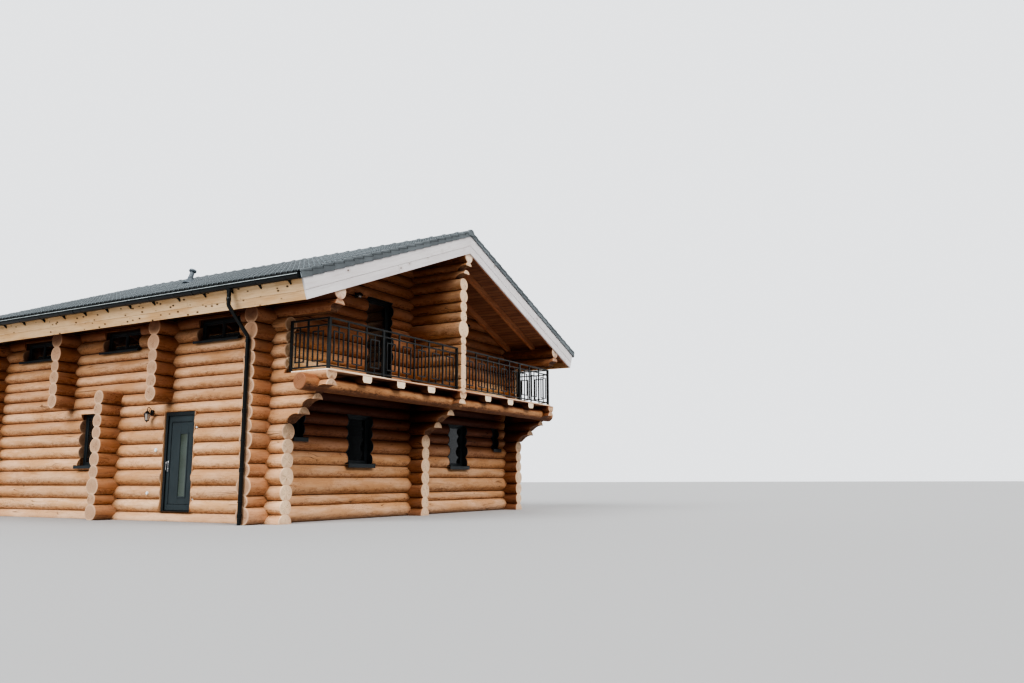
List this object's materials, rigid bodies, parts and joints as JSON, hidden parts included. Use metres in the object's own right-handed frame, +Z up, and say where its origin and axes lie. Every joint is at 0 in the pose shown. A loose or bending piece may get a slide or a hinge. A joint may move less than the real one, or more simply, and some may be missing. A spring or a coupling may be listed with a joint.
{
  "type": "alpine chalet",
  "caption": "Round-log alpine chalet with two storeys, a low tiled gable roof, corbelled balconies with steel railings, and an entry door that opens inwards.",
  "frame": {"origin": "on the ground under the centre of the house", "axes": "+Z up, the ridge runs along Y, the front gable faces -Y, the long wall with the opening entry door faces -X"},
  "size_m": [12.072, 13.122, 7.09],
  "materials": {
    "log": "oiled, satin, mottled spruce logs",
    "log_beam": "oiled, satin",
    "floor_screed": "matte",
    "floor_boards": "satin",
    "sawn_wood": "sawn, matte",
    "railing_steel": "satin anthracite",
    "dark_timber": "stained dark brown, matte",
    "roof_tile": "matte dark grey",
    "barge_white": "whitewashed, matte",
    "fascia_spruce": "natural, matte",
    "gutter_metal": "satin black",
    "vent_plastic": "matte",
    "frame_paint": "satin anthracite",
    "pane_glass": "clear",
    "door_paint": "satin slate grey",
    "obscure_glass": "obscure",
    "handle_steel": "brushed",
    "lantern_metal": "satin black"
  },
  "bodies": {
    "house": {"wall_w_front": "log", "wall_w_back": "log", "wall_w_upper": "log", "wall_e_lower": "log", "wall_e_upper": "log", "gable_f_lower": "log", "gable_f_upper": "log", "gable_b_lower": "log", "gable_b_upper": "log", "midwall_front": "log", "midwall_back": "log", "stacks_w": "log", "stacks_e": "log", "plate_logs": "log_beam", "ridge_log": "log_beam", "ground_floor": "floor_screed", "upper_floor": "floor_boards", "bearer_front": "log_beam", "bearer_back": "log_beam", "joists_front": "sawn_wood", "joists_back": "sawn_wood", "deck_front": "sawn_wood", "deck_back": "sawn_wood", "railing_front": "railing_steel", "railing_front_sides": "railing_steel", "railing_back": "railing_steel", "railing_back_sides": "railing_steel", "rafters_w": "dark_timber", "rafters_e": "dark_timber", "eave_blocking": "dark_timber", "roof_deck_w": "dark_timber", "roof_deck_e": "dark_timber", "roof_tiles_w": "roof_tile", "roof_tiles_e": "roof_tile", "ridge_tiles": "roof_tile", "barge_boards_w": "barge_white", "barge_boards_e": "barge_white", "eave_fascias": "fascia_spruce", "gutters": "gutter_metal", "downpipes": "gutter_metal", "roof_vents": "vent_plastic", "window_frames": "frame_paint", "window_glass": "pane_glass", "window_sills": "frame_paint", "balcony_doors": "frame_paint", "entry_frame_w": "frame_paint", "entry_door_e": "door_paint", "lanterns": "lantern_metal"},
    "entry_door": {"entry_leaf_w": "door_paint", "entry_glass_w": "obscure_glass", "entry_handle_w": "handle_steel"}
  },
  "joints": [
    {"name": "entry_door_hinge", "type": "hinge", "parent": "house", "child": "entry_door", "pos_m": [-4.775, -2.59, 1.25], "axis": [0, 0, -1], "range_deg": [0, 90]}
  ]
}
